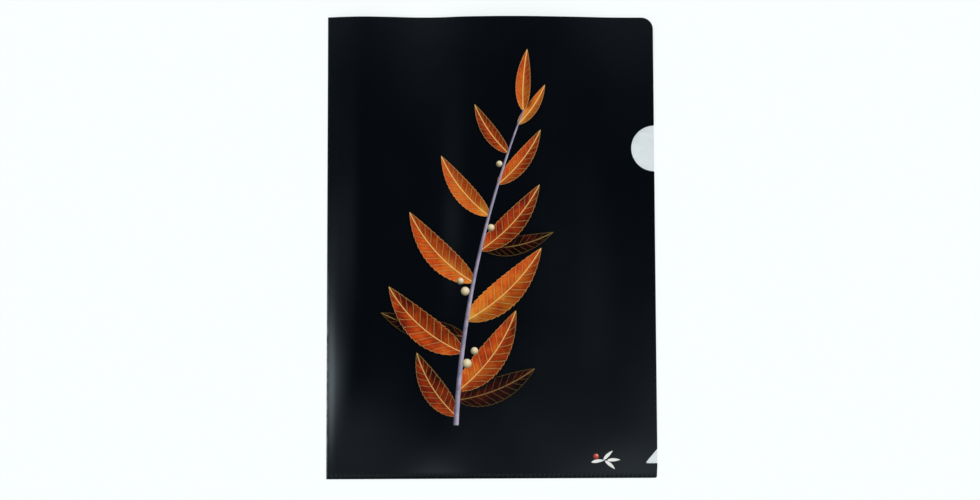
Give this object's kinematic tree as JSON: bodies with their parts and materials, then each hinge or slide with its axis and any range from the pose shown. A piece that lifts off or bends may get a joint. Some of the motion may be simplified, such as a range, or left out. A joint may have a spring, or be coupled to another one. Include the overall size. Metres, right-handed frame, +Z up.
{
  "type": "l-shaped clear folder",
  "caption": "Folded polypropylene document folder for A4 paper, welded along the bottom, open at the mouth and one side, with a thumb cut and a relief notch.",
  "frame": {"origin": "on the resting surface, under the middle of the panels (centre of the bounding box's bottom face)", "axes": "X from the folded edge to the free edge, Y from the welded edge to the mouth, Z up, with the back panel lying down and the printed front facing up"},
  "size_m": [0.22, 0.31, 0.0066],
  "materials": {
    "printed_film": "satin"
  },
  "bodies": {
    "root": {"folder_sheet": "printed_film"}
  },
  "joints": []
}
